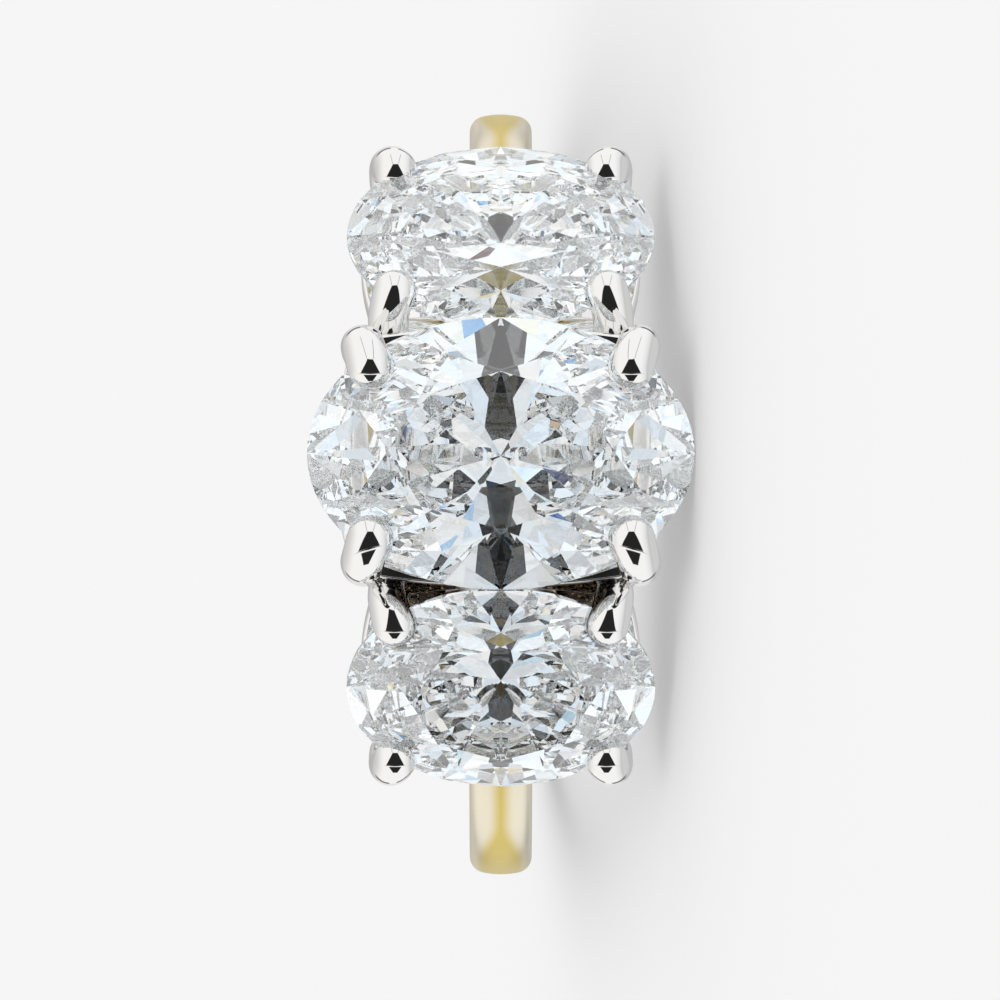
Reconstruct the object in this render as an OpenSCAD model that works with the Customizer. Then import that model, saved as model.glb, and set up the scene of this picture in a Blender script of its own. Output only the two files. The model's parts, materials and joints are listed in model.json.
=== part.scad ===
// Three stone ring: a yellow gold band under a white gold head that holds three oval brilliants.
// The pieces are made in the ring's own frame and then laid on their side, as the ring rests by itself.
// Ring frame: X along the finger, Y round the ring, Z out through the middle of the head.
// Stone frame: the same way round, with its origin in the middle of the stone's girdle.

/* [Band] */
// Inside diameter of the band, where the finger goes
finger_d = 16.5; // [15:0.1:20]
// Thickness of the band from the finger outwards
band_t = 1.6; // [1.3:0.05:2.2]
// Width of the band along the finger
band_w = 1.6; // [1.3:0.05:2.4]
// Radius of the domed outer face across the band
dome_r = 2.2; // [1.6:0.1:5]
// Radius of the band's outer edges
outer_edge_r = 0.42; // [0.1:0.02:0.5]
// Radius of the band's inner edges
inner_edge_r = 0.12; // [0.05:0.01:0.3]

/* [Centre stone] */
// Length of the centre stone along the finger
centre_l = 9.6; // [8.6:0.1:11]
// Width of the centre stone round the ring
centre_w = 6.76; // [6.2:0.02:7.4]

/* [Side stones] */
// Length of each side stone along the finger
side_l = 7.7; // [7:0.1:8.6]
// Width of each side stone round the ring
side_w = 5.56; // [5.2:0.02:5.9]
// How far each side stone leans out past the direction that its place on the ring gives
side_lean = 5; // [2:0.5:8]
// Step from the centre stone's long edge out to the side stone's near edge, seen from the front
side_step = -0.09; // [-0.16:0.01:0.3]
// Height of the centre stone's girdle above the side stones' near edges
centre_rise = 1.14; // [0.9:0.02:1.3]

/* [Cut of the stones] */
// Table size as a share of the stone
table_share = 0.58; // [0.5:0.01:0.66]
// Height of the crown as a share of the stone's width
crown_share = 0.14; // [0.1:0.005:0.16]
// Depth of the pavilion as a share of the stone's width
pavilion_share = 0.425; // [0.4:0.005:0.44]
// Thickness of the girdle as a share of the stone's width
girdle_share = 0.032; // [0.028:0.001:0.04]
// How far the star facets reach from the table's edge to the girdle
star_reach = 0.5; // [0.4:0.05:0.6]
// How far the lower halves reach from the girdle to the culet
lower_reach = 0.78; // [0.7:0.02:0.84]

/* [Claws] */
// Diameter of the centre stone's claws
centre_claw_d = 1.1; // [0.9:0.02:1.2]
// Diameter of the side stones' claws
side_claw_d = 1.02; // [0.86:0.02:1.1]
// Place of the claws round each stone, from its long axis
claw_place = 46; // [43:1:50]
// Direction in which a claw stands out from its place, from the short axis
claw_way = 20; // [10:1:35]
// Gap between the girdle and the middle of a centre stone's claw
centre_claw_out = 0.26; // [0.22:0.01:0.4]
// Gap between the girdle and the middle of a side stone's claw
side_claw_out = 0.38; // [0.28:0.01:0.44]
// How far a centre stone's claw bends in over the stone
centre_claw_in = 0.58; // [0.4:0.01:0.62]
// How far a side stone's claw bends in over the stone
side_claw_in = 0.48; // [0.3:0.01:0.56]
// Radius of the bend along the middle of a claw
claw_bend_r = 0.72; // [0.66:0.02:0.9]
// Height of the middle of a centre stone's claw tip above the girdle's middle
centre_tip_h = 0.44; // [0.36:0.02:0.5]
// Height of the middle of a side stone's claw tip above the girdle's middle
side_tip_h = 0.24; // [0.18:0.02:0.36]
// How much wider the round tip is than its claw, in radius
tip_swell = 0.03; // [0.02:0.01:0.08]
// Diameter of the legs that carry the claws down to the band
leg_d = 0.84; // [0.7:0.02:0.86]
// How far the legs come in towards the stone's middle at the base rail, each way
leg_in = 1.2; // [1:0.05:1.4]

/* [Rails] */
// Thickness of the gallery and base rails, seen from above
rail_t = 0.55; // [0.45:0.01:0.7]
// Height of the gallery rail under each side stone's girdle
gallery_h = 0.6; // [0.5:0.02:0.8]
// Drop from the girdle's middle to the top of the gallery rail
gallery_drop = 0.8; // [0.7:0.02:0.9]
// How far the centre stone's gallery rail reaches down past the side stones' near edges
join_depth = 0.82; // [0.78:0.01:0.9]
// Height of the base rail before the band's curve is cut out of it
base_h = 0.75; // [0.65:0.02:0.9]
// How far the base rail's top stands above the band
base_rise = 0.5; // [0.4:0.02:0.6]
// How round the rails' ends are, from 0 for straight ones to 1 for a circle about the middle
end_round = 0.5; // [0.3:0.05:0.8]
// How far the outside of the centre stone's gallery rail stands inside the stone's long edge
centre_rail_in = 0.14; // [0.04:0.01:0.2]
// How far the outside of a side stone's gallery rail stands outside the stone's long edge
side_rail_out = 0.12; // [0.06:0.01:0.2]

/* [Clearances] */
// Least gap between a culet and the band
culet_gap = 0.15; // [0.1:0.01:0.4]
// Gap round each stone in its seat, as a share of the stone
seat_share = 0.01; // [0.006:0.001:0.016]
// Gap of the soldered seam between the band and the head
seam_gap = 0.02; // [0.01:0.005:0.05]

/* [Hidden] */
$fn = 64;
gold = "#d9b64a";
white_gold = "#d8d6d2";
diamond = "#dfe9f2";

// A claw's post is this much thinner than its bend, in radius, and enters the bend by post_entry
post_step = 0.02;
post_entry = 0.06;

// Steps along the arcs of the band's section
edge_steps = 8;
dome_steps = 8;

// Main facets round a stone, and girdle steps in each half of one
mains = 8;
half_steps = 4;
sector = 360 / mains;
half = sector / 2;
girdle_n = 2 * mains * half_steps;
star_share = 1 - (1 - table_share) * (1 - star_reach);
lower_share = 1 - lower_reach;

// Radii of the band
bore_r = finger_d / 2;
band_r = bore_r + band_t;

// A side stone's girdle stands as high over the finger axis as its culet needs
side_r = band_r + culet_gap + (pavilion_share + girdle_share / 2) * side_w;

// The side stone's angle round the ring puts its near edge side_step past the centre stone's edge.
// Its near edge lies at side_r * sin(turn) - side_w / 2 * cos(turn + side_lean), which is one sine
// of size near_size, side_phase degrees late.
near_up = side_r + side_w / 2 * sin(side_lean);
near_across = side_w / 2 * cos(side_lean);
near_size = sqrt(near_up ^ 2 + near_across ^ 2);
side_phase = atan2(near_across, near_up);
side_turn = side_phase + asin((centre_w / 2 + side_step) / near_size);
side_tilt = side_turn + side_lean;

// The centre stone's girdle stands centre_rise over the side stones' near edges, or clear of the band.
// Its gallery rail reaches down to the side stones' rails, as the three are soldered there.
near_edge_h = side_r * cos(side_turn) + side_w / 2 * sin(side_tilt);
centre_low_r = band_r + culet_gap + (pavilion_share + girdle_share / 2) * centre_w;
centre_r = max(near_edge_h + centre_rise, centre_low_r);
centre_gallery_h = centre_r - gallery_drop - near_edge_h + join_depth;

// The ring rests on the centre stone's end and on the back of the band's edge.
// The tilt is that of the line from the stone's lower girdle corner that touches the edge's round.
tip_h = centre_r - girdle_share * centre_w / 2;
edge_back = band_r - dome_drop() - outer_edge_r;
rest_run = tip_h + edge_back;
rest_fall = centre_l / 2 - band_w / 2 + outer_edge_r;
rest_tilt = atan2(rest_fall, rest_run) - asin(outer_edge_r / sqrt(rest_run ^ 2 + rest_fall ^ 2));
rest_lift = centre_l / 2 * cos(rest_tilt) - tip_h * sin(rest_tilt);

// Laid down, the ring reaches from a round tip of the centre stone's claws to the back of the band's dome.
// It is centred between the two.
tip_x = centre_l / 2 * cos(claw_place) + (centre_claw_out - centre_claw_in) * sin(claw_way);
tip_r = centre_claw_d / 2 + tip_swell;
front = (centre_r + centre_tip_h) * cos(rest_tilt) + tip_x * sin(rest_tilt) + tip_r;
back = (band_r - dome_r) * cos(rest_tilt) + dome_r;
rest_shift = (front - back) / 2;

// How far the middle of the band's outer edge round lies under the dome's top, less its radius
function dome_drop() =
    dome_r - outer_edge_r - sqrt((dome_r - outer_edge_r) ^ 2 - (band_w / 2 - outer_edge_r) ^ 2);

// Points of an arc, from one angle to another
function arc(middle, r, from, to, steps) =
    [for (i = [0:steps], a = [from + (to - from) * i / steps]) middle + r * [cos(a), sin(a)]];

// A point at a share of the stone's half length and half width, at an angle and a height
function spot(size, share, angle, z) =
    [size[0] / 2 * share * cos(angle), size[1] / 2 * share * sin(angle), z];

// Height that the plane of a half facet gains from the straight chord between its girdle corners
// out to the girdle's arc. inner is the share and rise the height of the facet's inner corner.
function arc_gain(angle, inner, rise) =
    rise * (1 - cos(angle - half * (floor(angle / half) + 0.5)) / cos(half / 2)) / (1 - inner);

module lie() {
    translate([0, rest_shift, rest_lift])
        rotate([-rest_tilt, 0, 0])
            rotate([0, 90, -90])
                children();
}

module at_centre() {
    translate([0, 0, centre_r])
        children();
}

// Puts a piece in a side stone's frame, on one side of the head or the other
module at_side(far) {
    mirror([0, far ? 1 : 0, 0])
        translate([0, side_r * sin(side_turn), side_r * cos(side_turn)])
            rotate([-side_tilt, 0, 0])
                children();
}

// An oval brilliant: table, 8 stars, 8 kites, 16 upper halves, girdle, 16 lower halves and 8 mains
module brilliant(size) {
    crown_h = crown_share * size[1];
    pavilion_h = pavilion_share * size[1];
    belt = girdle_share * size[1] / 2;
    star_h = crown_h * (1 - star_share * cos(half)) / (1 - table_share);
    lower_h = -pavilion_h * (1 - lower_share * cos(half));

    table = [for (k = [0:mains - 1]) spot(size, table_share, k * sector, belt + crown_h)];
    stars = [for (k = [0:mains - 1]) spot(size, star_share, (k + 0.5) * sector, belt + star_h)];
    top = [for (i = [0:girdle_n - 1], a = [i * 360 / girdle_n])
        spot(size, 1, a, belt + (i % half_steps == 0 ? 0 : arc_gain(a, star_share, star_h)))];
    bottom = [for (i = [0:girdle_n - 1], a = [i * 360 / girdle_n])
        spot(size, 1, a, -belt + (i % half_steps == 0 ? 0 : arc_gain(a, lower_share, lower_h)))];
    lowers = [for (k = [0:mains - 1]) spot(size, lower_share, (k + 0.5) * sector, -belt + lower_h)];
    culet = [[0, 0, -belt - pavilion_h]];

    star_0 = mains;
    top_0 = star_0 + mains;
    bottom_0 = top_0 + girdle_n;
    lower_0 = bottom_0 + girdle_n;
    culet_0 = lower_0 + mains;
    main_steps = 2 * half_steps;

    polyhedron(
        concat(table, stars, top, bottom, lowers, culet),
        concat(
            [[for (k = [mains - 1:-1:0]) k]],
            [for (k = [0:mains - 1]) [k, (k + 1) % mains, star_0 + k]],
            [for (k = [0:mains - 1])
                [k, star_0 + k, top_0 + k * main_steps, star_0 + (k + mains - 1) % mains]],
            [for (h = [0:2 * mains - 1])
                concat([star_0 + floor(h / 2)],
                       [for (i = [half_steps:-1:0]) top_0 + (h * half_steps + i) % girdle_n])],
            [for (i = [0:girdle_n - 1], j = [(i + 1) % girdle_n])
                [top_0 + i, top_0 + j, bottom_0 + j, bottom_0 + i]],
            [for (h = [0:2 * mains - 1])
                concat([lower_0 + floor(h / 2)],
                       [for (i = [0:half_steps]) bottom_0 + (h * half_steps + i) % girdle_n])],
            [for (k = [0:mains - 1])
                [culet_0, lower_0 + (k + mains - 1) % mains, bottom_0 + k * main_steps, lower_0 + k]]
        ),
        convexity = 2
    );
}

// The outline of a rail's inner or outer face: four arcs that meet at its corners.
// bulge is how far the middle of a long side stands out past the corners.
module oval(corner, bulge, grow) {
    end = end_round * (norm(corner) - corner[0]);
    end_r = (corner[1] ^ 2 + end ^ 2) / (2 * end);
    long_r = (corner[0] ^ 2 + bulge ^ 2) / (2 * bulge);
    intersection_for (side = [-1, 1])
        intersection() {
            translate([side * (corner[0] + end - end_r), 0])
                circle(end_r + grow);
            translate([0, side * (corner[1] + bulge - long_r)])
                circle(long_r + grow);
        }
}

module rail(corner, bulge, z, h) {
    translate([0, 0, z])
        linear_extrude(h)
            difference() {
                oval(corner, bulge, rail_t / 2);
                oval(corner, bulge, -rail_t / 2);
            }
}

// One claw: a post beside the girdle that bends in over the stone and ends in a round tip
module claw(foot, r, reach, tip_h, post_z) {
    bend = acos(1 - reach / claw_bend_r);
    top_z = tip_h - claw_bend_r * sin(bend);
    translate([foot[0], foot[1], post_z])
        cylinder(r = r - post_step, h = top_z + post_entry - post_z);
    translate([foot[0], foot[1], top_z])
        rotate(-90 - claw_way)
            translate([claw_bend_r, 0, 0]) {
                rotate([90, 0, 180])
                    rotate_extrude(angle = bend)
                        translate([claw_bend_r, 0])
                            circle(r);
                translate([-claw_bend_r * cos(bend), 0, claw_bend_r * sin(bend)])
                    sphere(r + tip_swell);
            }
}

// One leg from the post of a claw, in and down to the base rail
module leg(foot, inset_foot, from_z, to_z) {
    run = [inset_foot[0] - foot[0], inset_foot[1] - foot[1], to_z - from_z];
    translate([foot[0], foot[1], from_z])
        rotate([0, acos(run[2] / norm(run)), atan2(run[1], run[0])])
            cylinder(d = leg_d, h = norm(run));
}

// A four-claw basket in its stone's frame. stand is the girdle's height over the finger axis.
// claws lists a claw's diameter, its gap from the girdle, its reach over the stone and its tip's height.
// gallery lists the gallery rail's height and how far its outside stands past the stone's long edge.
module basket(size, stand, claws, gallery) {
    way = [sin(claw_way), cos(claw_way)];
    foot = [size[0] / 2 * cos(claw_place), size[1] / 2 * sin(claw_place)] + claws[1] * way;
    inset_foot = foot - [leg_in, leg_in];
    bulge = size[1] / 2 + gallery[1] - rail_t / 2 - foot[1];
    gallery_z = -gallery_drop - gallery[0];
    base_z = band_r + base_rise - stand;
    rail(foot, bulge, gallery_z, gallery[0]);
    rail(inset_foot, bulge, base_z - base_h, base_h);
    for (x = [0, 1], y = [0, 1])
        mirror([x, 0, 0])
            mirror([0, y, 0]) {
                claw(foot, claws[0] / 2, claws[2], claws[3], gallery_z);
                leg(foot, inset_foot, gallery_z + leg_d / 2, base_z - base_h / 2);
            }
}

module shank() {
    dome_middle = [band_r - dome_r, 0];
    edge = [edge_back, band_w / 2 - outer_edge_r];
    blend = atan2(edge[1], edge[0] - dome_middle[0]);
    half_outline = concat(
        arc(dome_middle, dome_r, 0, blend, dome_steps),
        arc(edge, outer_edge_r, blend + (90 - blend) / edge_steps, 90, edge_steps - 1),
        arc([bore_r + inner_edge_r, band_w / 2 - inner_edge_r], inner_edge_r, 90, 180, edge_steps)
    );
    other_half = [for (i = [len(half_outline) - 1:-1:1]) [half_outline[i][0], -half_outline[i][1]]];
    color(gold)
        lie()
            rotate([0, 90, 0])
                rotate_extrude()
                    polygon(concat(half_outline, other_half));
}

module setting() {
    seat = 1 + seat_share;
    color(white_gold)
        lie()
            difference() {
                union() {
                    at_centre()
                        basket([centre_l, centre_w], centre_r,
                               [centre_claw_d, centre_claw_out, centre_claw_in, centre_tip_h],
                               [centre_gallery_h, -centre_rail_in]);
                    for (far = [false, true])
                        at_side(far)
                            basket([side_l, side_w], side_r,
                                   [side_claw_d, side_claw_out, side_claw_in, side_tip_h],
                                   [gallery_h, side_rail_out]);
                }
                at_centre()
                    scale(seat)
                        brilliant([centre_l, centre_w]);
                for (far = [false, true])
                    at_side(far)
                        scale(seat)
                            brilliant([side_l, side_w]);
                rotate([0, 90, 0])
                    cylinder(r = band_r + seam_gap, h = centre_l, center = true);
            }
}

module centre_stone() {
    color(diamond)
        lie()
            at_centre()
                brilliant([centre_l, centre_w]);
}

module side_stone_a() {
    color(diamond)
        lie()
            at_side(false)
                brilliant([side_l, side_w]);
}

module side_stone_b() {
    color(diamond)
        lie()
            at_side(true)
                brilliant([side_l, side_w]);
}

shank();
setting();
centre_stone();
side_stone_a();
side_stone_b();
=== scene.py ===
import json

import bpy
import numpy as np
from bpy.props import FloatProperty, FloatVectorProperty, PointerProperty
from mathutils import Matrix


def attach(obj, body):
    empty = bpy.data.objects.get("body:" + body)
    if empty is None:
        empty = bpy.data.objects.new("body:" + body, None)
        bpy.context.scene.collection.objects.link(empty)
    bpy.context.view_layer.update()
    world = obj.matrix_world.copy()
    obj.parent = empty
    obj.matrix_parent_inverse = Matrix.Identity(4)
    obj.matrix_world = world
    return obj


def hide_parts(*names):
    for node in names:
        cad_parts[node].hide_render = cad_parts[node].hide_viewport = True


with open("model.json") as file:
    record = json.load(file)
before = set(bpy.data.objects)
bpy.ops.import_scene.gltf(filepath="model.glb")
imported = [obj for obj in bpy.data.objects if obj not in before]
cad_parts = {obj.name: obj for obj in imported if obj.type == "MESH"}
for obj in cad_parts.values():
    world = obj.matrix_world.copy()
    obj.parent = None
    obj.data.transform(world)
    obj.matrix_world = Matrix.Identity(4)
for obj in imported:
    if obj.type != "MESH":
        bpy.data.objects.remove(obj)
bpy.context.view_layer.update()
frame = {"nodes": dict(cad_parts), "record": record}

bl_info = {
    "name": "Three Stone Ring",
    "version": (1, 0, 0),
    "blender": (4, 5, 0),
    "location": "3D View > Sidebar > Ring",
    "description": "Dresses a packed three stone ring: gold band, claw head, diamonds and a pale studio",
    "category": "Object",
}

# The ring's own frame, from the bore that the record states. RIGHT runs along the finger, ROUND up the
# head from one side stone to the other, and OUT from the finger axis through the middle of the head.
BORE = next(m for m in frame["record"]["mounts"] if m["name"] == "finger_bore")
BORE_R = BORE["dims"]["r_mm"] / 1000
MIDDLE = np.array(BORE["pos_m"])
RIGHT = -np.array(BORE["axis"]) / np.linalg.norm(BORE["axis"])
ROUND = np.array([1.0, 0.0, 0.0])
OUT = np.cross(RIGHT, ROUND)

MM = 0.001

# How finely the band is drawn: steps round the ring, along the arcs of its outer face and of its inner edges
BAND_TURNS = 256
OUTER_STEPS = 12
INNER_STEPS = 8

# How finely a claw is drawn: rings along its leg, its bend and its round tip, and points round each ring
LEG_RINGS = 28
BEND_RINGS = 20
TIP_RINGS = 16
CLAW_SIDES = 40

# How finely a rail is drawn: steps along each of its four arcs, and round each edge of its section
RAIL_STEPS = 40
EDGE_STEPS = 6

# The painted shade in the cleft between the centre stone and the lower stone, and on the stretch of the band
# under it, each as where it starts, is full, fades and ends. Sides are counted along the finger from the
# middle of the head, and turns in degrees round the ring from there.
CLEFT_SIDE = (0.7 * MM, 1.1 * MM, 2.5 * MM, 2.9 * MM)
CLEFT_TURN = (-26, -22, -11, -9)
BAND_TURN = (-24, -20, 7, 10)


class RingSizes(bpy.types.PropertyGroup):
    """Sizes of the band and the head, as in the part's source."""

    band_t: FloatProperty(name="Band thickness", description="From the finger outwards",
                          default=1.6 * MM, unit="LENGTH")
    band_w: FloatProperty(name="Band width", description="Along the finger", default=1.6 * MM, unit="LENGTH")
    dome_r: FloatProperty(name="Dome radius", description="Radius of the band's outer face across it",
                          default=2.2 * MM, unit="LENGTH")
    outer_edge_r: FloatProperty(name="Outer edge radius", description="Round of the band's outer edges",
                                default=0.42 * MM, unit="LENGTH")
    inner_edge_r: FloatProperty(name="Inner edge radius", description="Round of the band's inner edges",
                                default=0.12 * MM, unit="LENGTH")
    centre_l: FloatProperty(name="Centre stone length", description="Along the finger",
                            default=9.6 * MM, unit="LENGTH")
    centre_w: FloatProperty(name="Centre stone width", description="Round the ring",
                            default=6.76 * MM, unit="LENGTH")
    centre_r: FloatProperty(name="Centre stone height", description="Girdle's middle above the finger axis",
                            default=13.7094 * MM, unit="LENGTH")
    side_l: FloatProperty(name="Side stone length", description="Along the finger",
                          default=7.7 * MM, unit="LENGTH")
    side_w: FloatProperty(name="Side stone width", description="Round the ring",
                          default=5.56 * MM, unit="LENGTH")
    side_r: FloatProperty(name="Side stone height", description="Girdle's middle above the finger axis",
                          default=12.452 * MM, unit="LENGTH")
    side_turn: FloatProperty(name="Side stone turn", description="Place of a side stone round the ring",
                             default=np.radians(26.9749), subtype="ANGLE")
    side_lean: FloatProperty(name="Side stone lean", description="Lean out past the turn",
                             default=np.radians(5), subtype="ANGLE")


class HeadSizes(bpy.types.PropertyGroup):
    """Sizes of the claws and rails, as in the part's source."""

    centre_claw_r: FloatProperty(name="Centre claw radius", description="Of the bent part",
                                 default=0.55 * MM, unit="LENGTH")
    side_claw_r: FloatProperty(name="Side claw radius", description="Of the bent part",
                               default=0.51 * MM, unit="LENGTH")
    tip_swell: FloatProperty(name="Tip swell", description="How much wider the round tip is, in radius",
                             default=0.03 * MM, unit="LENGTH")
    leg_r: FloatProperty(name="Leg radius", description="Of the legs under the gallery",
                         default=0.42 * MM, unit="LENGTH")
    claw_place: FloatProperty(name="Claw place", description="Angle from the stone's long axis",
                              default=np.radians(46), subtype="ANGLE")
    claw_way: FloatProperty(name="Claw direction", description="Angle from the stone's short axis",
                            default=np.radians(20), subtype="ANGLE")
    centre_out: FloatProperty(name="Centre claw gap", description="From the girdle to the claw's middle",
                              default=0.26 * MM, unit="LENGTH")
    side_out: FloatProperty(name="Side claw gap", description="From the girdle to the claw's middle",
                            default=0.38 * MM, unit="LENGTH")
    centre_in: FloatProperty(name="Centre claw reach", description="How far a claw bends over the stone",
                             default=0.58 * MM, unit="LENGTH")
    side_in: FloatProperty(name="Side claw reach", description="How far a claw bends over the stone",
                           default=0.48 * MM, unit="LENGTH")
    bend_r: FloatProperty(name="Bend radius", description="Along the middle of a claw",
                          default=0.72 * MM, unit="LENGTH")
    centre_tip: FloatProperty(name="Centre tip height", description="Of a tip's middle above the girdle's",
                              default=0.44 * MM, unit="LENGTH")
    side_tip: FloatProperty(name="Side tip height", description="Of a tip's middle above the girdle's",
                            default=0.24 * MM, unit="LENGTH")
    leg_in: FloatProperty(name="Leg inset", description="How far a leg comes in at the base, each way",
                          default=1.2 * MM, unit="LENGTH")
    rail_t: FloatProperty(name="Rail thickness", description="Seen from above",
                          default=0.55 * MM, unit="LENGTH")
    centre_gallery_h: FloatProperty(name="Centre gallery height", description="Of the rail under the girdle",
                                    default=1.16 * MM, unit="LENGTH")
    side_gallery_h: FloatProperty(name="Side gallery height", description="Of the rail under the girdle",
                                  default=0.6 * MM, unit="LENGTH")
    gallery_drop: FloatProperty(name="Gallery drop", description="From the girdle to the rail's top",
                                default=0.8 * MM, unit="LENGTH")
    base_h: FloatProperty(name="Base rail height", description="Before the band's curve is cut out of it",
                          default=0.75 * MM, unit="LENGTH")
    base_rise: FloatProperty(name="Base rail rise", description="Of its top above the band",
                             default=0.5 * MM, unit="LENGTH")
    end_round: FloatProperty(name="End roundness", description="0 for straight rail ends, 1 for a circle",
                             default=0.5, subtype="FACTOR")
    centre_rail_in: FloatProperty(name="Centre rail inset", description="Inside the stone's long edge",
                                  default=0.14 * MM, unit="LENGTH")
    side_rail_out: FloatProperty(name="Side rail outset", description="Outside the stone's long edge",
                                 default=0.12 * MM, unit="LENGTH")
    rail_edge_r: FloatProperty(name="Rail edge radius", description="Round of the rails' edges",
                               default=0.1 * MM, unit="LENGTH")
    seam: FloatProperty(name="Seam", description="Soldered seam between the head and the band",
                        default=0.02 * MM, unit="LENGTH")


class Finish(bpy.types.PropertyGroup):
    """Colours of the metals, the stones and the studio."""

    yellow_gold: FloatVectorProperty(name="Yellow gold", description="Colour of the band", subtype="COLOR",
                                     size=3, default=(0.7, 0.555, 0.145))
    # Painted highlight: the pale colour that stands in for white light reflected off each flank of the band
    highlight_gold: FloatVectorProperty(name="Pale gold", description="Colour of the band's bright flanks",
                                   subtype="COLOR", size=3, default=(0.87, 0.8, 0.64))
    white_gold: FloatVectorProperty(name="White gold", description="Colour of the head", subtype="COLOR",
                                    size=3, default=(0.9, 0.895, 0.885))
    # Painted shade: the colour that stands in for the shade deep between the stones
    painted_shade: FloatVectorProperty(name="Recess", description="Colour deep between the stones", subtype="COLOR",
                                size=3, default=(0.03, 0.02, 0.015))
    # Painted reflection: specks of gold glinting in the painted shade, as of the band seen between the stones
    gold_glint_specks: FloatVectorProperty(name="Specks", description="Colour of the specks in the recess",
                                subtype="COLOR", size=3, default=(0.5, 0.34, 0.14))
    floor: FloatVectorProperty(name="Floor", description="Colour of the floor", subtype="COLOR",
                               size=3, default=(0.514, 0.514, 0.514))
    floor_light: FloatProperty(name="Floor light", description="Light that the floor gives by itself",
                               default=0.4)


class Studio(bpy.types.PropertyGroup):
    """Camera and light."""

    distance: FloatProperty(name="Camera distance", description="From the finger axis",
                            default=300 * MM, unit="LENGTH")
    view_w: FloatProperty(name="View width", description="Width of the picture at the finger axis",
                          default=25.94 * MM, unit="LENGTH")
    lean: FloatProperty(name="Camera lean", description="How far the camera stands towards the lower stone",
                        default=np.radians(4.2), subtype="ANGLE")
    aim_right: FloatProperty(name="Aim right", description="Middle of the picture right of the ring's middle",
                             default=-0.02 * MM, unit="LENGTH")
    aim_up: FloatProperty(name="Aim up", description="Middle of the picture above the ring's middle",
                          default=-0.145 * MM, unit="LENGTH")
    white: FloatProperty(name="White", description="Brightness of the studio's white walls", default=1.015)


def to_world(points):
    """Points of the ring's own frame (right, round, out) as points of the row frame."""
    return MIDDLE + np.asarray(points) @ np.array([RIGHT, ROUND, OUT])


def grid_faces(rows, columns, close_rows=False):
    """Quads of a grid of points, as index rows. Each row of points closes on itself, and the last row may
    join the first."""
    i, j = np.meshgrid(np.arange(rows if close_rows else rows - 1), np.arange(columns), indexing="ij")
    i2, j2 = (i + 1) % rows, (j + 1) % columns
    quads = np.stack([i * columns + j, i * columns + j2, i2 * columns + j2, i2 * columns + j], axis=-1)
    return quads.reshape(-1, 4)


def volume(points, faces):
    """Signed volume of a closed quad shell: the sum of the tetrahedra from the origin to each half quad."""
    p = points[faces]
    first = np.einsum("ij,ij->i", p[:, 0], np.cross(p[:, 1], p[:, 2])).sum()
    second = np.einsum("ij,ij->i", p[:, 0], np.cross(p[:, 2], p[:, 3])).sum()
    return (first + second) / 6


def shell(points, faces):
    """A closed shell with its faces turned outwards."""
    return points, faces if volume(points, faces) > 0 else faces[:, ::-1]


def make_piece(name, shells, material):
    """A smooth mesh object from closed shells of points and quads, in the row frame."""
    points = np.concatenate([p for p, _ in shells])
    starts = np.cumsum([0] + [len(p) for p, _ in shells[:-1]])
    faces = np.concatenate([f + start for (_, f), start in zip(shells, starts)])
    mesh = bpy.data.meshes.new(name)
    mesh.vertices.add(len(points))
    mesh.vertices.foreach_set("co", points.astype(np.float32).ravel())
    mesh.loops.add(faces.size)
    mesh.loops.foreach_set("vertex_index", faces.astype(np.int32).ravel())
    mesh.polygons.add(len(faces))
    mesh.polygons.foreach_set("loop_start", np.arange(0, faces.size, 4, dtype=np.int32))
    mesh.polygons.foreach_set("use_smooth", np.ones(len(faces), dtype=bool))
    mesh.update(calc_edges=True)
    mesh.validate()
    mesh.materials.append(material)
    piece = bpy.data.objects.new(name, mesh)
    bpy.context.scene.collection.objects.link(piece)
    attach(piece, "root")
    return piece


def ease(value, start, end):
    """0 at start and before it, 1 at end and past it, and between them 3 t squared less 2 t cubed, where t is
    the share of the way. start may be the larger."""
    t = np.clip((value - start) / (end - start), 0, 1)
    return t * t * (3 - 2 * t)


def between(value, start, full, fade, end):
    """0 up to start, 1 from full to fade and 0 again from end on, smooth between."""
    return ease(value, start, full) * ease(value, end, fade)


def paint(piece, name, mask):
    """Stores a value at each point of a piece. The mask works it out from the points' places and normals in
    the ring's own frame."""
    points = piece.data.vertices
    place, normal = np.empty(3 * len(points)), np.empty(3 * len(points))
    points.foreach_get("co", place)
    points.foreach_get("normal", normal)
    axes = np.column_stack([RIGHT, ROUND, OUT])
    values = mask((place.reshape(-1, 3) - MIDDLE) @ axes, normal.reshape(-1, 3) @ axes)
    layer = piece.data.attributes.new(name, "FLOAT", "POINT")
    layer.data.foreach_set("value", values.astype(np.float32))


def head_painted_shade(place, normal):
    """Painted shade on the head: how deep a point lies in the cleft between the centre stone and the lower
    stone, on either side of where they meet, under the girdles and on a face that looks out."""
    x, y, z = place.T
    r = np.hypot(y, z)
    turn = np.degrees(np.arctan2(y, z))
    cleft = between(np.abs(x), *CLEFT_SIDE) * between(turn, *CLEFT_TURN)
    under_girdles = ease(r, 13.3 * MM, 13.15 * MM)
    looks_out = ease((normal[:, 1] * y + normal[:, 2] * z) / r, 0.1, 0.35)
    return cleft * under_girdles * looks_out


def band_painted_shade(place, normal):
    """Painted shade on the outer face of the band from the same cleft to under the centre stone."""
    y, z = place.T[1:]
    outer_face = ease(np.hypot(y, z), BORE_R + 1.1 * MM, BORE_R + 1.3 * MM)
    return outer_face * between(np.degrees(np.arctan2(y, z)), *BAND_TURN)


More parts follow.
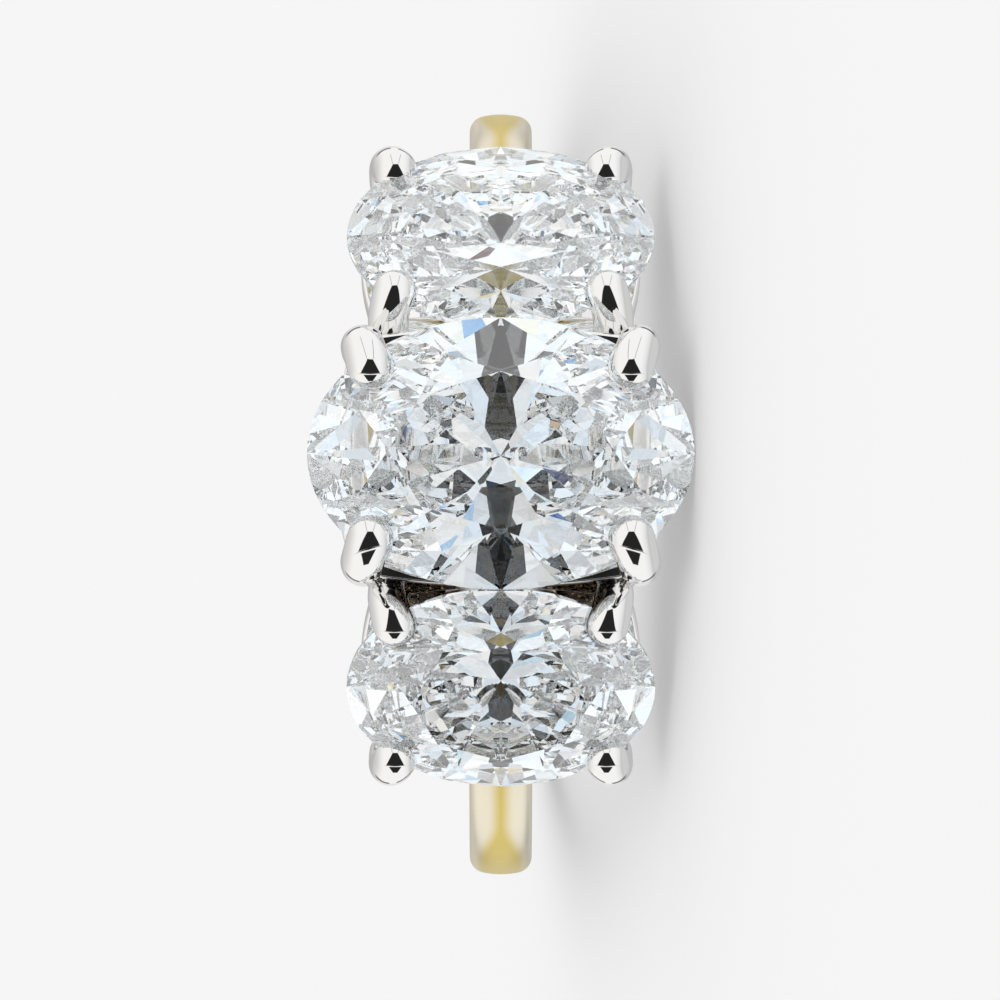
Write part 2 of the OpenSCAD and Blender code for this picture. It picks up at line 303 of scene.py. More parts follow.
def band_painted_highlight(place, normal):
    """A painted highlight that pales each flank of the outer face beside the head. It ends where the band
    turns away from the camera, and the yellow middle between the two highlit sides widens on the way there."""
    x, y, z = place.T
    r = np.hypot(y, z)
    middle = 0.45 * MM * ease(np.abs(y) / r, 0.89, 0.995)
    flank = ease(np.abs(x) - middle, -0.05 * MM, 0.36 * MM)
    beside_head = ease(np.degrees(np.arctan2(np.abs(y), z)), 125, 95)
    outer_face = ease(r, BORE_R + 0.6 * MM, BORE_R + 1.1 * MM)
    return flank * beside_head * outer_face


def arc(middle, radius, start, end, steps):
    """Points of a circle's arc in the plane, from one angle to another: its middle, and from there its radius
    times the cosine and sine of each angle."""
    a = np.linspace(start, end, steps + 1)
    return np.asarray(middle) + radius * np.stack([np.cos(a), np.sin(a)], axis=-1)


# From here on s stands for the ring's sizes and h for the head's, as their PropertyGroups hold them


def band_outline(s):
    """The band's section as (distance from the axis, place along the finger): dome, edges and flat inside.
    The outer edge's arc touches the dome's from inside, so the distance between their middles is the dome's
    radius less the edge's. The second half of the section mirrors the first."""
    dome = np.array([BORE_R + s.band_t - s.dome_r, 0])
    half_w = s.band_w / 2
    reach = s.dome_r - s.outer_edge_r
    across = half_w - s.outer_edge_r
    edge = np.array([dome[0] + np.sqrt(reach ** 2 - across ** 2), across])
    blend = np.arctan2(edge[1], edge[0] - dome[0])
    inner = (BORE_R + s.inner_edge_r, half_w - s.inner_edge_r)
    half = np.concatenate([
        arc(dome, s.dome_r, 0, blend, OUTER_STEPS),
        arc(edge, s.outer_edge_r, blend, np.pi / 2, OUTER_STEPS)[1:],
        arc(inner, s.inner_edge_r, np.pi / 2, np.pi, INNER_STEPS),
    ])
    return np.concatenate([half, half[:0:-1] * [1, -1]])


def band_shell(s):
    """The band's outline turned about the finger axis: its distance from the axis times the sine and cosine
    of each angle round the ring."""
    outline = band_outline(s)
    a = np.linspace(0, 2 * np.pi, BAND_TURNS, endpoint=False)[:, None]
    r, x = outline[None, :, 0], outline[None, :, 1]
    grid = np.stack([x + 0 * a, r * np.sin(a), r * np.cos(a)], axis=-1)
    points = to_world(grid.reshape(-1, 3))
    return shell(points, grid_faces(BAND_TURNS, len(outline), close_rows=True))


def tube(path, radii, across):
    """A round tube along a path: at each of its points a ring of points, the radius times the cosine of an
    angle one way and its sine the other, both square to the path. The path may not run along across. The
    first and the last ring have no radius, so the ends close in a pole."""
    t = np.gradient(path, axis=0)
    t /= np.linalg.norm(t, axis=1, keepdims=True)
    n = across - t * (t @ across)[:, None]
    n /= np.linalg.norm(n, axis=1, keepdims=True)
    b = np.cross(t, n)
    a = np.linspace(0, 2 * np.pi, CLAW_SIDES, endpoint=False)
    ring = np.cos(a)[None, :, None] * n[:, None] + np.sin(a)[None, :, None] * b[:, None]
    points = path[:, None] + radii[:, None, None] * ring
    return points.reshape(-1, 3), grid_faces(len(path), CLAW_SIDES)


def claw_shell(h, foot, inset, r, reach, tip_h, gallery_z, base_z):
    """One leg and claw in its stone's frame, as a tube whose middle line runs up from the base rail, bends
    upright at the gallery, turns in over the stone on an arc and ends in a round tip. Below the knee the line
    leaves the upright for the inset by the share (f + sqrt(f squared + softness squared)) / 2, where f is the
    fall below the knee as a share of the leg. Round the knee the leg widens into the claw."""
    bend = np.arccos(1 - reach / h.bend_r)
    way = np.array([np.sin(h.claw_way), np.cos(h.claw_way), 0])
    way[:2] *= np.sign(foot)
    up = np.array([0.0, 0.0, 1.0])
    bend_z = tip_h - h.bend_r * np.sin(bend)
    knee_z = gallery_z + h.leg_r

    z = np.linspace(base_z, bend_z, LEG_RINGS)[:-1]
    fall = (knee_z - z) / (knee_z - base_z)
    softness = 0.06
    ramp = (fall + np.sqrt(fall ** 2 + softness ** 2)) / 2
    inward = np.append(inset - foot, 0)
    rise = np.append(foot, 0) + ramp[:, None] * inward + z[:, None] * up
    near_knee = 0.25 * h.leg_r
    rise_r = h.leg_r + (r - h.leg_r) * ease(z, knee_z - near_knee, knee_z + near_knee)

    a = np.linspace(0, bend, BEND_RINGS)[:, None]
    turn = np.append(foot, bend_z) - h.bend_r * (1 - np.cos(a)) * way + h.bend_r * np.sin(a) * up
    tip_r = r + h.tip_swell
    turn_r = r + (tip_r - r) * ease((a[:, 0] / bend) ** 2, 0, 1)

    along = -np.sin(bend) * way + np.cos(bend) * up
    c = np.linspace(0, np.pi / 2, TIP_RINGS)[1:]
    tip = turn[-1] + tip_r * np.sin(c)[:, None] * along
    tip_radii = tip_r * np.cos(c)
    tip_radii[-1] = 0

    closed_end = 0.3 * h.leg_r
    start = rise[:1] - closed_end * up
    path = np.concatenate([start, rise, turn, tip])
    radii = np.concatenate([[0.0], rise_r, turn_r, tip_radii])
    across = np.cross(way, up)
    return tube(path, radii, across)


def rail_outline(corner, end, bulge):
    """The middle line of a rail, four arcs through the corners, with the outward direction at each point. An
    arc over half a chord c with a height h has the radius (c squared + h squared) / 2h. The line's second
    half is the first one, turned by half a turn."""
    end_r = (corner[1] ** 2 + end ** 2) / (2 * end)
    long_r = (corner[0] ** 2 + bulge ** 2) / (2 * bulge)
    end_a = np.arcsin(corner[1] / end_r)
    long_a = np.arcsin(corner[0] / long_r)
    end_middle = np.array([corner[0] + end - end_r, 0])
    long_middle = np.array([0, corner[1] + bulge - long_r])
    right = arc(end_middle, end_r, -end_a, end_a, RAIL_STEPS)
    top = arc(long_middle, long_r, np.pi / 2 - long_a, np.pi / 2 + long_a, RAIL_STEPS)
    half = np.concatenate([right, top])
    outward = np.concatenate([(right - end_middle) / end_r, (top - long_middle) / long_r])
    return np.concatenate([half, -half]), np.concatenate([outward, -outward])


def rail_shell(h, corner, bulge, z, height):
    """A rail in its stone's frame: a rectangle with round edges carried along the four arcs."""
    end = h.end_round * (np.linalg.norm(corner) - corner[0])
    line, outward = rail_outline(corner, end, bulge)
    across, tall, edge = h.rail_t / 2 - h.rail_edge_r, height / 2 - h.rail_edge_r, h.rail_edge_r
    section = np.concatenate([
        arc((across, tall), edge, 0, np.pi / 2, EDGE_STEPS),
        arc((-across, tall), edge, np.pi / 2, np.pi, EDGE_STEPS),
        arc((-across, -tall), edge, np.pi, 1.5 * np.pi, EDGE_STEPS),
        arc((across, -tall), edge, 1.5 * np.pi, 2 * np.pi, EDGE_STEPS),
    ])
    flat = line[:, None] + section[None, :, :1] * outward[:, None]
    up = np.broadcast_to(z + height / 2 + section[None, :, 1:], flat.shape[:2] + (1,))
    points = np.concatenate([flat, up], axis=-1)
    return points.reshape(-1, 3), grid_faces(len(line), len(section), close_rows=True)


def basket_shells(s, h, size, stand, claws, gallery, lean):
    """A four-claw basket in its stone's frame. size is the stone's length and width, and stand is how far its
    girdle stands above the finger axis. claws lists a claw's radius, its gap from the girdle, its reach over
    the stone and its tip's height. gallery lists the gallery rail's height and how far its outside stands
    past the stone's long edge. lean is the stone's lean out past its place on the ring. No point of the base
    rail lies lower than a circle about the finger axis, whose radius is the band's and the seam's."""
    claw_r, out, reach, tip_h = claws
    gallery_h, rail_out = gallery
    foot = np.array([size[0] / 2 * np.cos(h.claw_place) + out * np.sin(h.claw_way),
                     size[1] / 2 * np.sin(h.claw_place) + out * np.cos(h.claw_way)])
    inset = foot - h.leg_in
    bulge = size[1] / 2 + rail_out - h.rail_t / 2 - foot[1]
    gallery_z = -h.gallery_drop - gallery_h
    band_r = BORE_R + s.band_t
    base_z = band_r + h.base_rise - stand
    shells = [rail_shell(h, foot, bulge, gallery_z, gallery_h)]
    base, faces = rail_shell(h, inset, bulge, base_z - h.base_h, h.base_h)
    axis_y, axis_z = stand * np.sin(lean), -stand * np.cos(lean)
    over = np.sqrt((band_r + h.seam) ** 2 - (base[:, 1] - axis_y) ** 2) + axis_z
    base[:, 2] = np.maximum(base[:, 2], over)
    shells.append((base, faces))
    for x in (1, -1):
        for y in (1, -1):
            side = np.array([x, y])
            shells.append(claw_shell(h, foot * side, inset * side, claw_r, reach, tip_h,
                                     gallery_z, base_z - h.base_h / 2))
    return shells


def head_shells(s, h):
    """The three baskets in the row frame: the centre one upright, and one leaned out on each side."""
    made = []
    claws = (h.centre_claw_r, h.centre_out, h.centre_in, h.centre_tip)
    gallery = (h.centre_gallery_h, -h.centre_rail_in)
    for p, f in basket_shells(s, h, (s.centre_l, s.centre_w), s.centre_r, claws, gallery, 0):
        made.append(shell(to_world(p + [0, 0, s.centre_r]), f))
    tilt = s.side_turn + s.side_lean
    claws = (h.side_claw_r, h.side_out, h.side_in, h.side_tip)
    gallery = (h.side_gallery_h, h.side_rail_out)
    for way in (1, -1):
        y_axis = np.array([0, np.cos(tilt), -way * np.sin(tilt)])
        z_axis = np.array([0, way * np.sin(tilt), np.cos(tilt)])
        seat = s.side_r * np.array([0, way * np.sin(s.side_turn), np.cos(s.side_turn)])
        for p, f in basket_shells(s, h, (s.side_l, s.side_w), s.side_r, claws, gallery, way * s.side_lean):
            ring = p[:, :1] * [1, 0, 0] + p[:, 1:2] * y_axis + p[:, 2:] * z_axis + seat
            made.append(shell(to_world(ring), f))
    return made


class Maths:
    """Writes small sums of a node tree's values as nodes. A value is a number or a socket."""

    def __init__(self, tree):
        self.tree = tree

    def __call__(self, operation, *values):
        """One Math node's result."""
        node = self.tree.nodes.new("ShaderNodeMath")
        node.operation = operation
        for socket, value in zip(node.inputs, values):
            if isinstance(value, bpy.types.NodeSocket):
                self.tree.links.new(value, socket)
            else:
                socket.default_value = value
        return node.outputs[0]

    def dot(self, vector, direction):
        """How far a vector goes along a fixed direction."""
        node = self.tree.nodes.new("ShaderNodeVectorMath")
        node.operation = "DOT_PRODUCT"
        self.tree.links.new(vector, node.inputs[0])
        node.inputs[1].default_value = direction
        return node.outputs["Value"]

    def step(self, value, start, end):
        """0 up to start, 1 from end on, smooth between."""
        node = self.tree.nodes.new("ShaderNodeMapRange")
        node.interpolation_type = "SMOOTHSTEP"
        self.tree.links.new(value, node.inputs["Value"])
        node.inputs["From Min"].default_value = start
        node.inputs["From Max"].default_value = end
        return node.outputs["Result"]

    def between(self, value, start, full, fade, end):
        """0 up to start, 1 from full to fade and 0 again from end on, smooth between."""
        not_past = self("SUBTRACT", 1.0, self.step(value, fade, end))
        return self("MULTIPLY", self.step(value, start, full), not_past)

    def times(self, value, mask, factor):
        """A value times a factor where the mask is 1, and unchanged where it is 0."""
        return self("MULTIPLY", value, self("MULTIPLY_ADD", mask, factor - 1, 1.0))


def new_material(name):
    """A material with only an output and a Principled shader, and its nodes, its links and that shader."""
    material = bpy.data.materials.new(name)
    material.use_nodes = True
    nodes = material.node_tree.nodes
    return material, nodes, material.node_tree.links, nodes["Principled BSDF"]


def noise(nodes, links, scale):
    """Noise on Object coordinates, with its node. The scale may be a socket."""
    place = nodes.new("ShaderNodeTexCoord")
    made = nodes.new("ShaderNodeTexNoise")
    links.new(place.outputs["Object"], made.inputs["Vector"])
    if isinstance(scale, bpy.types.NodeSocket):
        links.new(scale, made.inputs["Scale"])
    else:
        made.inputs["Scale"].default_value = scale
    return made


def polish_group():
    """Fine polishing marks: a small change of roughness and a height for the bump."""
    tree = bpy.data.node_groups.get("polish") or bpy.data.node_groups.new("polish", "ShaderNodeTree")
    if tree.nodes:
        return tree
    for name, default in (("Scale", 1500), ("Roughness", 0.05), ("Spread", 0.03)):
        socket = tree.interface.new_socket(name, in_out="INPUT", socket_type="NodeSocketFloat")
        socket.default_value = default
    for name in ("Roughness", "Height"):
        tree.interface.new_socket(name, in_out="OUTPUT", socket_type="NodeSocketFloat")
    nodes, links = tree.nodes, tree.links
    given, put = nodes.new("NodeGroupInput"), nodes.new("NodeGroupOutput")
    marks = noise(nodes, links, given.outputs["Scale"])
    marks.inputs["Detail"].default_value = 4
    maths = Maths(tree)
    rough = maths("MULTIPLY_ADD", marks.outputs["Fac"], given.outputs["Spread"], given.outputs["Roughness"])
    links.new(rough, put.inputs["Roughness"])
    links.new(marks.outputs["Fac"], put.inputs["Height"])
    return tree


def add_polish(nodes, links, shader, scale, roughness, spread, bump):
    """Places the polish group in a metal and bumps the surface by it, with marks up to 0.002 mm deep."""
    group = nodes.new("ShaderNodeGroup")
    group.node_tree = polish_group()
    group.inputs["Scale"].default_value = scale
    group.inputs["Roughness"].default_value = roughness
    group.inputs["Spread"].default_value = spread
    links.new(group.outputs["Roughness"], shader.inputs["Roughness"])
    height = nodes.new("ShaderNodeBump")
    height.inputs["Strength"].default_value = bump
    height.inputs["Distance"].default_value = 0.002 * MM
    links.new(group.outputs["Height"], height.inputs["Height"])
    links.new(height.outputs["Normal"], shader.inputs["Normal"])


def mixed(nodes, links, factor, first, second):
    """A colour between two others, by a factor. Either colour may be a socket."""
    mix = nodes.new("ShaderNodeMix")
    mix.data_type = "RGBA"
    links.new(factor, mix.inputs["Factor"])
    for name, colour in (("A", first), ("B", second)):
        if isinstance(colour, bpy.types.NodeSocket):
            links.new(colour, mix.inputs[name])
        else:
            mix.inputs[name].default_value = (*colour, 1)
    return mix.outputs["Result"]


def drift(nodes, links, colour, other, scale):
    """A colour that drifts a little towards another over the surface."""
    return mixed(nodes, links, noise(nodes, links, scale).outputs["Fac"], colour, other)


def painted(nodes, name):
    """The value that paint() stored under a name."""
    layer = nodes.new("ShaderNodeAttribute")
    layer.attribute_name = name
    return layer.outputs["Fac"]


def with_painted_shade(nodes, links, finish, colour):
    """A colour darkened by painted shade where paint() stored it, with painted gold glints at noise peaks."""
    # Painted gold glints: the few peaks of a fine noise
    few = nodes.new("ShaderNodeMapRange")
    few.inputs["From Min"].default_value = 0.6
    few.inputs["From Max"].default_value = 0.72
    links.new(noise(nodes, links, scale=13000).outputs["Fac"], few.inputs["Value"])
    dark = mixed(nodes, links, few.outputs["Result"], tuple(finish.painted_shade), tuple(finish.gold_glint_specks))
    return mixed(nodes, links, painted(nodes, "painted_shade"), colour, dark)


def yellow_gold(finish):
    """Yellow gold with a soft, fine polish, a painted highlight paling each flank beside the head, and
    painted shade on its outer face under the cleft between the centre stone and the lower stone.
    """
    material, nodes, links, shader = new_material("yellow_gold")
    gold = np.array(finish.yellow_gold)
    colour = drift(nodes, links, gold, gold * [0.98, 0.96, 0.9], scale=400)
    # Painted highlight: paler gold where white light would shine off each flank beside the head
    colour = mixed(nodes, links, painted(nodes, "painted_highlight_flanks"), colour, tuple(finish.highlight_gold))
    # Painted shade on the outer face under the cleft between the stones
    colour = with_painted_shade(nodes, links, finish, colour)
    links.new(colour, shader.inputs["Base Color"])
    shader.inputs["Metallic"].default_value = 1
    add_polish(nodes, links, shader, scale=2500, roughness=0.31, spread=0.06, bump=0.1)
    return material


def white_gold(finish):
    """Mirror-polished white gold, with painted shade in the cleft between the centre and the lower stone."""
    material, nodes, links, shader = new_material("white_gold")
    pale = np.array(finish.white_gold)
    colour = drift(nodes, links, pale, pale * [1.0, 0.99, 0.985], scale=500)
    # Painted shade in the cleft between the centre stone and the lower stone
    links.new(with_painted_shade(nodes, links, finish, colour), shader.inputs["Base Color"])
    shader.inputs["Metallic"].default_value = 1
    add_polish(nodes, links, shader, scale=3000, roughness=0.03, spread=0.03, bump=0.03)
    return material


def diamond():
    """Clear diamond with a faint drift between a cool and a warm white: a painted tint that stands in for the
    coloured flashes of the stone's fire.
    """
    material, nodes, links, shader = new_material("diamond")
    cool, warm = (0.96, 0.985, 1.0), (1.0, 0.985, 0.955)
    # Painted colour flashes: a tint drifting over the stone in place of the fire of its facets
    links.new(drift(nodes, links, cool, warm, scale=900), shader.inputs["Base Color"])
    shader.inputs["Roughness"].default_value = 0
    shader.inputs["IOR"].default_value = 2.417
    shader.inputs["Transmission Weight"].default_value = 1
    return material


def floor_finish(finish):
    """Plain pale floor with a barely visible grain. It glows a little, so that shadows stay light."""
    material, nodes, links, shader = new_material("floor")
    pale = np.array(finish.floor)
    links.new(drift(nodes, links, pale, pale * 0.995, scale=200), shader.inputs["Base Color"])
    shader.inputs["Roughness"].default_value = 0.9
    shader.inputs["Specular IOR Level"].default_value = 0
    shader.inputs["Emission Color"].default_value = (1, 1, 1, 1)
    shader.inputs["Emission Strength"].default_value = finish.floor_light
    return material


def camera_axes(studio):
    """The picture's right, up and backward directions in the row frame."""
    right = RIGHT
    up = np.cos(studio.lean) * ROUND + np.sin(studio.lean) * OUT
    back = np.cos(studio.lean) * OUT - np.sin(studio.lean) * ROUND
    return right, up, back


def probe(maths, direction, axes):
    """A direction's place on a mirror ball seen from the camera's place: how far across and up it shows, and
    its distance r from the ball's middle, 0 towards the camera and 1 straight away from it. Across and up are
    the direction's own parts that way over the root of 2 + 2b, and r squared is (1 - b) / 2, where b is its
    part towards the camera."""
    right, up, back = (tuple(axis) for axis in axes)
    smallest = 1e-4
    near = maths("MAXIMUM", maths("ADD", maths.dot(direction, back), 1.0), smallest)
    twice = maths("SQRT", maths("MULTIPLY", near, 2.0))
    x = maths("DIVIDE", maths.dot(direction, right), twice)
    y = maths("DIVIDE", maths.dot(direction, up), twice)
    r = maths("SQRT", maths("MAXIMUM", maths("MULTIPLY_ADD", near, -0.5, 1.0), 0.0))
    return x, y, r


def inside(maths, x, y, boxes):
    """How far a place of the mirror ball lies inside the nearest of some upright boxes, negative outside."""
    nearest = -1.0
    for x0, x1, y0, y1 in boxes:
        across = maths("SUBTRACT", (x1 - x0) / 2, maths("ABSOLUTE", maths("SUBTRACT", x, (x0 + x1) / 2)))
        upward = maths("SUBTRACT", (y1 - y0) / 2, maths("ABSOLUTE", maths("SUBTRACT", y, (y0 + y1) / 2)))
        nearest = maths("MAXIMUM", nearest, maths("MINIMUM", across, upward))
    return nearest


def trapezoid(maths, side, y, foot, top, half, slope):
    """How far a place lies inside a trapezoid that stands between two heights, negative outside. Its half
    width is half where y is 0 and grows by slope upwards."""
    height = maths("MINIMUM", maths("SUBTRACT", top, y), maths("SUBTRACT", y, foot))
    return maths("MINIMUM", maths("SUBTRACT", maths("MULTIPLY_ADD", y, slope, half), side), height)


def metal_tent(maths, x, y, r):
    """What the metals see: pale walls, greyer at the sides and behind, a thin dark rim above and below, and
    the camera's dark opening in the form of a hat over a smaller shade, with two thin seams up from the hat.
    Each of these leaves a share of the light, and the walls are a little warmer at the left."""
    side, tall = maths("ABSOLUTE", x), maths("ABSOLUTE", y)
    crown = trapezoid(maths, side, y, foot=-0.3, top=0.29, half=0.2708, slope=-0.52)
    low = trapezoid(maths, side, y, foot=-0.64, top=-0.36, half=0.55, slope=0.7)
    brim = maths("ABSOLUTE", maths("ADD", y, 0.31))
    brim = maths("SUBTRACT", 0.03, maths("MULTIPLY_ADD", side, 0.05, brim))
    hat = maths.step(maths("MAXIMUM", crown, maths("MAXIMUM", brim, low)), -0.004, 0.012)
    off_seam = maths("ABSOLUTE", maths("SUBTRACT", side, maths("MULTIPLY_ADD", y, 0.24, 0.06)))
    seam = maths("SUBTRACT", 1.0, maths.step(off_seam, 0.006, 0.02))
    seam = maths("MULTIPLY", seam, maths.between(y, 0.28, 0.32, 0.7, 0.78))
    rim = maths("MULTIPLY", maths.step(tall, 0.45, 0.7), maths.step(side, 0.1, 0.2))
    rim = maths("MULTIPLY", rim, maths.between(r, 0.93, 0.945, 0.955, 0.97))
    left = maths.step(maths("MULTIPLY", x, -1.0), 0.5, 0.98)
    right = maths.step(x, 0.35, 0.85)
    groove = maths.between(x, 0.6, 0.68, 0.7, 0.78)
    behind = maths.step(r, 0.93, 0.995)
    value = 1.0
    for shade, share in ((hat, 0.02), (seam, 0.4), (rim, 0.15), (left, 0.62), (right, 0.66), (groove, 0.86),
                         (behind, 0.78)):
        value = maths.times(value, shade, share)
    cool = maths.step(x, -0.4, 0.4)
    return [maths("MULTIPLY", value, maths("MULTIPLY_ADD", cool, at_right - at_left, at_left))
            for at_left, at_right in ((1.0, 0.98), (0.99, 0.99), (0.98, 1.0))]


# Patches of the tent that the stones see, each as its brightness and its boxes on the mirror ball: windows,
# black gaps and small lights
STONE_PATCHES = (
    (1.06, ((-0.66, -0.27, -0.12, 0.5), (0.3, 0.64, -0.4, 0.3), (-0.22, 0.34, 0.36, 0.66),
            (-0.34, 0.2, -0.66, -0.3))),
    (0.04, ((-0.56, -0.4, -0.42, -0.3), (0.24, 0.34, -0.56, -0.44), (-0.3, -0.2, -0.3, -0.2),
            (-0.07, 0.08, -0.44, -0.27), (0.16, 0.25, 0.15, 0.26), (0.34, 0.42, 0.18, 0.3),
            (-0.43, -0.35, -0.14, -0.03), (-0.28, -0.17, -0.44, -0.33), (0.3, 0.4, -0.08, 0.02))),
    (1.4, ((-0.45, -0.38, 0.1, 0.17), (0.46, 0.53, -0.1, -0.03), (0.02, 0.09, 0.5, 0.57))),
)

# A warm and a cool patch of the same tent, each as its box, and the width of every patch's soft edge
GOLD_BOX = (-0.3, -0.14, 0.12, 0.24)
BLUE_BOX = (0.2, 0.34, -0.28, -0.14)
SOFT_EDGE = 0.02

# Red, green and blue of the same tent: which way the edges split and the walls drift, the tent's tint, and
# how many times brighter the warm and the cool patch are
STONE_COLOURS = (
    (-1.0, 0.93, 1.06, 0.6),
    (0.0, 0.99, 1.0, 0.88),
    (1.0, 1.045, 0.82, 1.2),
)


def wave(maths, x, y, across, upward, height):
    """A sine wave over the mirror ball, with its turns in radians for each step across and upward."""
    turn = maths("MULTIPLY_ADD", x, across, maths("MULTIPLY", y, upward))
    return maths("MULTIPLY", maths("SINE", turn), height)


def stone_tent(maths, x, y, r):
    """What the stones see: grey walls, paler upwards, with windows, small black gaps and small lights, and a
    dark ring round the camera's black opening. The edges are split into colours, red and blue either way, and
    the walls drift between a cool and a warm white."""
    split = wave(maths, x, y, across=17.0, upward=11.0, height=0.0045)
    cool = wave(maths, x, y, across=11.0, upward=-8.0, height=0.06)
    edges = [(inside(maths, x, y, boxes), light) for light, boxes in STONE_PATCHES]
    ring = maths.step(maths("SUBTRACT", 0.2, r), 0, 0.03)
    hole = maths.step(maths("SUBTRACT", 0.14, r), 0, 0.02)
    gold = maths.step(inside(maths, x, y, (GOLD_BOX,)), 0, SOFT_EDGE)
    blue = maths.step(inside(maths, x, y, (BLUE_BOX,)), 0, SOFT_EDGE)
    channels = []
    for way, tint, in_gold, in_blue in STONE_COLOURS:
        value = maths("MULTIPLY_ADD", y, 0.36, 0.93)
        for edge, light in edges:
            mask = maths.step(maths("MULTIPLY_ADD", split, way, edge), 0, SOFT_EDGE)
            value = maths("MULTIPLY_ADD", mask, maths("SUBTRACT", light, value), value)
        value = maths("MULTIPLY", value, maths("MULTIPLY_ADD", cool, way, 1.0))
        for mask, share in ((ring, 0.04), (hole, 0.05), (gold, in_gold), (blue, in_blue)):
            value = maths.times(value, mask, share)
        channels.append(maths("MULTIPLY", value, tint))
    return channels


# How bright the tent looks to the camera past the floor's edge, as a share of its light
BACKDROP = 0.9084


def make_world(studio):
    """A studio tent round the ring. The floor sees plain white and the view a little less, so that the two
    look the same in the picture. Only what shines sees the tent's walls, its windows and the opening where
    the camera looks in: a reflected ray the metals' tent, and one that left a stone the stones' tent."""
    world = bpy.data.worlds.new("studio")
    bpy.context.scene.world = world
    world.use_nodes = True
    # The tent has no small lamp in it, so rays find its light by themselves, and faster
    world.cycles.sampling_method = "NONE"
    tree = world.node_tree
    maths = Maths(tree)
    place = tree.nodes.new("ShaderNodeTexCoord")
    x, y, r = probe(maths, place.outputs["Generated"], camera_axes(studio))

    # A ray that left a stone counts as a glossy one too, so it is taken out of those
    path = tree.nodes.new("ShaderNodeLightPath")
    through = path.outputs["Is Transmission Ray"]
    glossy = maths("MAXIMUM", maths("SUBTRACT", path.outputs["Is Glossy Ray"], through), 0.0)
    plain = maths("SUBTRACT", 1.0, maths("ADD", glossy, through))
    plain = maths.times(plain, path.outputs["Is Camera Ray"], BACKDROP)
    colour = tree.nodes.new("ShaderNodeCombineColor")
    for metal, stone, socket in zip(metal_tent(maths, x, y, r), stone_tent(maths, x, y, r), colour.inputs):
        lit = maths("MULTIPLY_ADD", glossy, metal, maths("MULTIPLY_ADD", through, stone, plain))
        tree.links.new(lit, socket)
    background = tree.nodes["Background"]
    tree.links.new(colour.outputs["Color"], background.inputs["Color"])
    background.inputs["Strength"].default_value = studio.white


def make_floor(finish):
    """A wide pale floor under the ring. What shines doesn't see it."""
    half_width = 1.5
    corners = half_width * np.array([[-1, -1, 0], [1, -1, 0], [1, 1, 0], [-1, 1, 0]])
    mesh = bpy.data.meshes.new("floor")
    mesh.from_pydata(corners.tolist(), [], [(0, 1, 2, 3)])
    mesh.materials.append(floor_finish(finish))
    floor = bpy.data.objects.new("floor", mesh)
    bpy.context.scene.collection.objects.link(floor)
    floor.visible_glossy = False
    floor.visible_transmission = False


def make_camera(studio):
    """The camera at the photo's angle to the ring, turned so that the finger's direction runs across. Its
    lens fits the width of the view at the finger axis."""
    right, up, back = camera_axes(studio)
    data = bpy.data.cameras.new("camera")
    camera = bpy.data.objects.new("camera", data)
    bpy.context.scene.collection.objects.link(camera)
    data.sensor_width = 36
    data.lens = data.sensor_width * studio.distance / studio.view_w
    data.clip_start = 0.01
    data.clip_end = 10
    place = MIDDLE + studio.aim_right * right + studio.aim_up * up + studio.distance * back
    turn = Matrix(np.column_stack([right, up, back]).tolist())
    camera.matrix_world = Matrix.Translation(place.tolist()) @ turn.to_4x4()
    bpy.context.scene.camera = camera


class RING_OT_band(bpy.types.Operator):
    """Makes the yellow gold band"""
    bl_idname = "ring.band"
    bl_label = "Make the band"

    def execute(self, context):
        scene = context.scene
        shells = [band_shell(scene.ring_sizes)]
        piece = make_piece("band", shells, yellow_gold(scene.ring_finish))
        # Painted shade on the outer face under the cleft between the stones
        paint(piece, "painted_shade", band_painted_shade)
        # Painted highlight on each flank of the band beside the head
        paint(piece, "painted_highlight_flanks", band_painted_highlight)
        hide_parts("shank")
        return {"FINISHED"}


class RING_OT_head(bpy.types.Operator):
    """Makes the white gold head: three baskets with claws, legs and rails"""
    bl_idname = "ring.head"
    bl_label = "Make the head"

    def execute(self, context):
        scene = context.scene
        shells = head_shells(scene.ring_sizes, scene.ring_head)
        piece = make_piece("head", shells, white_gold(scene.ring_finish))
        # Painted shade in the cleft between the centre stone and the lower stone
        paint(piece, "painted_shade", head_painted_shade)
        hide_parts("setting")
        return {"FINISHED"}


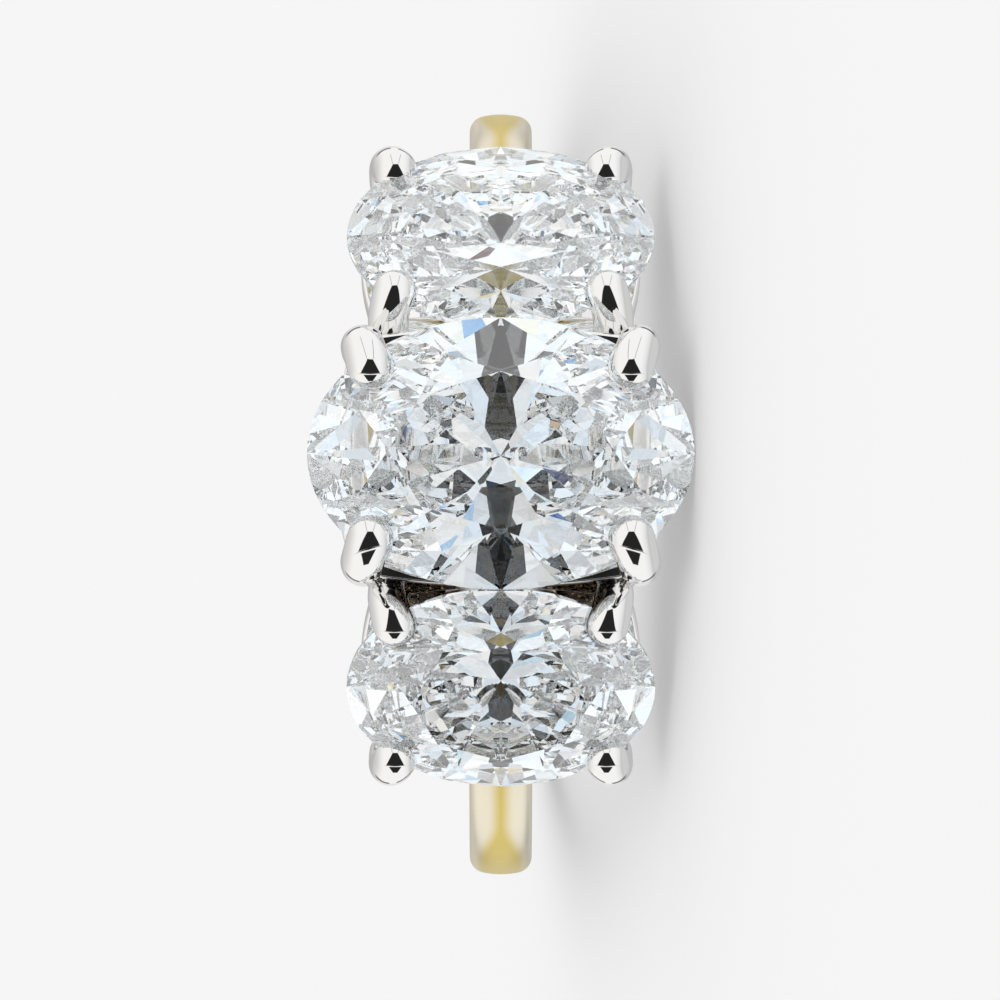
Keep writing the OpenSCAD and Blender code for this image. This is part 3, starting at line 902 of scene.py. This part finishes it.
class RING_OT_stones(bpy.types.Operator):
    """Gives the three stones their diamond finish"""
    bl_idname = "ring.stones"
    bl_label = "Finish the stones"

    def execute(self, context):
        material = diamond()
        for name in ("centre_stone", "side_stone_a", "side_stone_b"):
            stone = frame["nodes"][name]
            stone.data.materials.clear()
            stone.data.materials.append(material)
        return {"FINISHED"}


class RING_OT_stage(bpy.types.Operator):
    """Makes the floor, the light and the camera"""
    bl_idname = "ring.stage"
    bl_label = "Set the stage"

    def execute(self, context):
        scene = context.scene
        make_world(scene.ring_studio)
        make_floor(scene.ring_finish)
        make_camera(scene.ring_studio)
        scene.view_settings.view_transform = "Standard"
        # Light turns many times inside a diamond, and a path that is cut short would be black
        scene.cycles.max_bounces = 32
        scene.cycles.glossy_bounces = 24
        scene.cycles.transmission_bounces = 32
        scene.cycles.caustics_reflective = False
        scene.cycles.caustics_refractive = False
        return {"FINISHED"}


class RING_PT_panel(bpy.types.Panel):
    """Lists the steps that dress the ring"""
    bl_idname = "RING_PT_panel"
    bl_label = "Three Stone Ring"
    bl_space_type = "VIEW_3D"
    bl_region_type = "UI"
    bl_category = "Ring"

    def draw(self, context):
        for step in STEPS:
            self.layout.operator(step.bl_idname)


STEPS = (RING_OT_band, RING_OT_head, RING_OT_stones, RING_OT_stage)
GROUPS = {"ring_sizes": RingSizes, "ring_head": HeadSizes, "ring_finish": Finish, "ring_studio": Studio}


def register():
    for made in (*GROUPS.values(), *STEPS, RING_PT_panel):
        bpy.utils.register_class(made)
    for name, group in GROUPS.items():
        setattr(bpy.types.Scene, name, PointerProperty(type=group))


def unregister():
    for name in GROUPS:
        delattr(bpy.types.Scene, name)
    for made in reversed((*GROUPS.values(), *STEPS, RING_PT_panel)):
        bpy.utils.unregister_class(made)


def main():
    register()
    for step in STEPS:
        group, name = step.bl_idname.split(".")
        if getattr(getattr(bpy.ops, group), name)() != {"FINISHED"}:
            raise RuntimeError("the step " + step.bl_idname + " did not finish")


if __name__ == "__main__":
    main()
